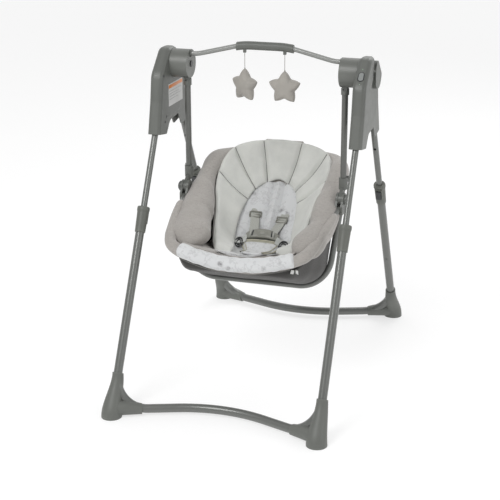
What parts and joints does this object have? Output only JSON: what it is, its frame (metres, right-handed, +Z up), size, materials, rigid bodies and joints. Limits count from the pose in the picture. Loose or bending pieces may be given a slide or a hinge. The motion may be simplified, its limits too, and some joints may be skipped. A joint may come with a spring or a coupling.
{
  "type": "baby swing",
  "caption": "Folding A-frame baby swing: tube legs with telescoping locks, side housings, toy bar with hanging stars and a padded reclining seat on two arms.",
  "frame": {"origin": "on the floor under the middle of the frame", "axes": "+Z up, the child faces -Y, +X is the side with the speed button"},
  "size_m": [0.58, 0.9358, 0.8758],
  "materials": {
    "tube_paint": "satin",
    "steel": "satin",
    "frame_plastic": "satin",
    "collar_plastic": "satin",
    "hub_plastic": "semi-gloss",
    "dark_plastic": "satin",
    "button_plastic": "gloss",
    "lens": "clear",
    "copper": "lacquered",
    "cell_case": "printed",
    "grip_plastic": "satin",
    "label_film": "satin",
    "bolster_cloth": "heathered",
    "pale_velour": "velour",
    "print_cloth": "printed",
    "sling_cloth": "woven",
    "board": "raw",
    "webbing": "woven",
    "buckle_plastic": "satin",
    "star_cloth": "velour",
    "string": "braided"
  },
  "bodies": {
    "front_frame": {"front_upper_tubes": "tube_paint", "front_inner_shells": "frame_plastic", "front_outer_shells": "frame_plastic", "housing_screws": "steel", "hubs": "hub_plastic", "pivot_axles": "steel", "toy_bar": "tube_paint", "toy_bar_grip": "grip_plastic", "label_panel": "label_film", "drive_coil": "copper", "button_rim": "dark_plastic", "indicator_lenses": "lens", "control_board": "dark_plastic"},
    "front_base": {"front_middle_tubes": "tube_paint", "front_base_tube": "tube_paint", "front_shoes": "frame_plastic", "front_collars": "collar_plastic"},
    "rear_frame": {"rear_inner_shells": "frame_plastic", "rear_outer_shells": "frame_plastic", "rear_upper_tubes": "tube_paint", "battery_cells": "cell_case", "battery_contacts": "steel"},
    "rear_base": {"rear_middle_tubes": "tube_paint", "rear_base_tube": "tube_paint", "rear_shoes": "frame_plastic", "rear_collars": "collar_plastic"},
    "battery_cover": {"battery_door": "frame_plastic"},
    "swing": {"hangers": "frame_plastic", "swing_arm_tubes": "tube_paint", "arm_sleeves": "frame_plastic", "drive_magnet": "steel"},
    "seat": {"seat_hoop": "tube_paint", "seat_front_loop": "tube_paint", "seat_back_loop": "tube_paint", "seat_brackets": "frame_plastic", "recline_pins": "steel", "seat_insert": "pale_velour", "seat_pan": "board", "seat_sling": "sling_cloth", "seat_bolster": "bolster_cloth", "knee_roll": "print_cloth", "printed_panel": "print_cloth", "shoulder_straps": "webbing", "waist_straps": "webbing", "strap_slides": "buckle_plastic", "crotch_pad": "print_cloth", "buckle": "buckle_plastic"},
    "speed_key": {"speed_button": "button_plastic"},
    "buckle_key": {"buckle_button": "button_plastic"},
    "left_recline_key": {"left_recline_button": "dark_plastic"},
    "right_recline_key": {"right_recline_button": "dark_plastic"},
    "left_string": {"left_toy_string": "string"},
    "right_string": {"right_toy_string": "string"},
    "left_toy": {"left_star": "star_cloth"},
    "right_toy": {"right_star": "star_cloth"},
    "front_left_lock": {"front_left_height_lock": "dark_plastic"},
    "front_right_lock": {"front_right_height_lock": "dark_plastic"},
    "rear_left_lock": {"rear_left_height_lock": "dark_plastic"},
    "rear_right_lock": {"rear_right_height_lock": "dark_plastic"}
  },
  "joints": [
    {"name": "rear_fold", "type": "hinge", "parent": "front_frame", "child": "rear_frame", "pos_m": [0, 0, 0.81], "axis": [-1, 0, 0], "range_deg": [0, 34]},
    {"name": "front_height", "type": "slide", "parent": "front_frame", "child": "front_base", "axis": [0, 0.4726, 0.8813], "range_m": [0, 0.157]},
    {"name": "rear_height", "type": "slide", "parent": "rear_frame", "child": "rear_base", "axis": [0, -0.4726, 0.8813], "range_m": [0, 0.157]},
    {"name": "front_left_lock_pull", "type": "slide", "parent": "front_base", "child": "front_left_lock", "axis": [0, 0.8813, -0.4726], "range_m": [0, 0.003], "stiffness_N_per_m": 400, "springref_m": -0.004},
    {"name": "front_right_lock_pull", "type": "slide", "parent": "front_base", "child": "front_right_lock", "axis": [0, 0.8813, -0.4726], "range_m": [0, 0.003], "stiffness_N_per_m": 400, "springref_m": -0.004},
    {"name": "rear_left_lock_pull", "type": "slide", "parent": "rear_base", "child": "rear_left_lock", "axis": [0, -0.8813, -0.4726], "range_m": [0, 0.003], "stiffness_N_per_m": 400, "springref_m": -0.004},
    {"name": "rear_right_lock_pull", "type": "slide", "parent": "rear_base", "child": "rear_right_lock", "axis": [0, -0.8813, -0.4726], "range_m": [0, 0.003], "stiffness_N_per_m": 400, "springref_m": -0.004},
    {"name": "battery_cover_hinge", "type": "hinge", "parent": "rear_frame", "child": "battery_cover", "pos_m": [0.2838, 0.0785, 0.795], "axis": [0, 0, 1], "range_deg": [0, 95]},
    {"name": "swing_pivot", "type": "hinge", "parent": "front_frame", "child": "swing", "pos_m": [0, 0, 0.81], "axis": [1, 0, 0], "range_deg": [-16, 16]},
    {"name": "seat_recline", "type": "hinge", "parent": "swing", "child": "seat", "pos_m": [0, -0.024, 0.487], "axis": [-1, 0, 0], "range_deg": [0, 15]},
    {"name": "speed_key_press", "type": "slide", "parent": "front_frame", "child": "speed_key", "axis": [0, 0.6893, -0.7244], "range_m": [0, 0.0015], "stiffness_N_per_m": 500, "springref_m": -0.002},
    {"name": "buckle_key_press", "type": "slide", "parent": "seat", "child": "buckle_key", "axis": [0, 0, -1], "range_m": [0, 0.0015], "stiffness_N_per_m": 500, "springref_m": -0.002},
    {"name": "left_recline_press", "type": "slide", "parent": "seat", "child": "left_recline_key", "axis": [1, 0, 0], "range_m": [0, 0.003], "stiffness_N_per_m": 500, "springref_m": -0.002},
    {"name": "right_recline_press", "type": "slide", "parent": "seat", "child": "right_recline_key", "axis": [-1, 0, 0], "range_m": [0, 0.003], "stiffness_N_per_m": 500, "springref_m": -0.002},
    {"name": "left_string_swing", "type": "hinge", "parent": "front_frame", "child": "left_string", "pos_m": [-0.053, -0.003, 0.8465], "axis": [1, 0, 0], "range_deg": [-30, 30]},
    {"name": "left_toy_spin", "type": "hinge", "parent": "left_string", "child": "left_toy", "pos_m": [-0.053, -0.003, 0.79], "axis": [0, 0, 1], "continuous": true},
    {"name": "right_string_swing", "type": "hinge", "parent": "front_frame", "child": "right_string", "pos_m": [0.053, -0.003, 0.8465], "axis": [1, 0, 0], "range_deg": [-30, 30]},
    {"name": "right_toy_spin", "type": "hinge", "parent": "right_string", "child": "right_toy", "pos_m": [0.053, -0.003, 0.79], "axis": [0, 0, 1], "continuous": true}
  ]
}
